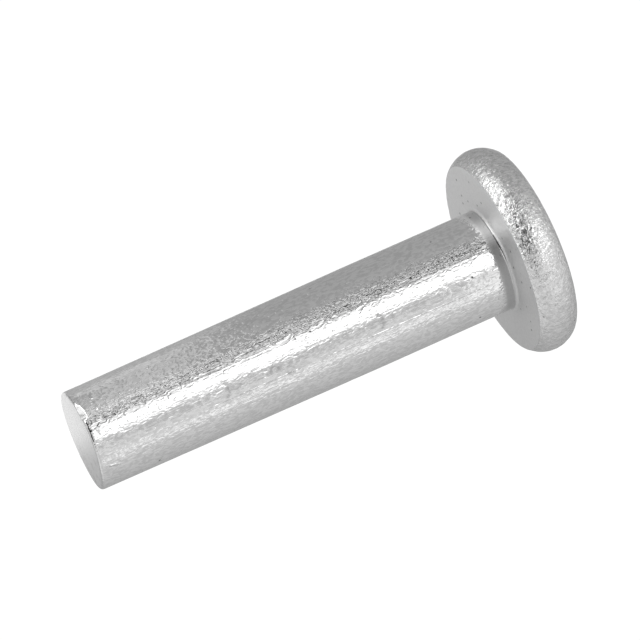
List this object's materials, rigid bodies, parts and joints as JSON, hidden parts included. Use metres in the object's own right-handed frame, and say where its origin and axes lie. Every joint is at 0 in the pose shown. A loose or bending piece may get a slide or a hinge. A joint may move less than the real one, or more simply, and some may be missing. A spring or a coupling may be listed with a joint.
{
  "type": "flat head rivet",
  "caption": "Solid aluminium rivet with a flat, round-rimmed head and a plain shank that is set by hammering or squeezing its free end.",
  "frame": {"origin": "centre of the head's flat top, which the rivet stands on", "axes": "+Z along the shank's axis, from the head's flat top towards the free end; +X is a free choice about the axis, and the small nick in the free end's edge lies 60 degrees from it towards -Y"},
  "size_m": [0.0122, 0.0122, 0.0284],
  "materials": {
    "aluminium": "cold headed, drawn shank, tumbled; bright with fine dents and dull face under the head"
  },
  "bodies": {
    "root": {"rivet": "aluminium"}
  },
  "joints": []
}
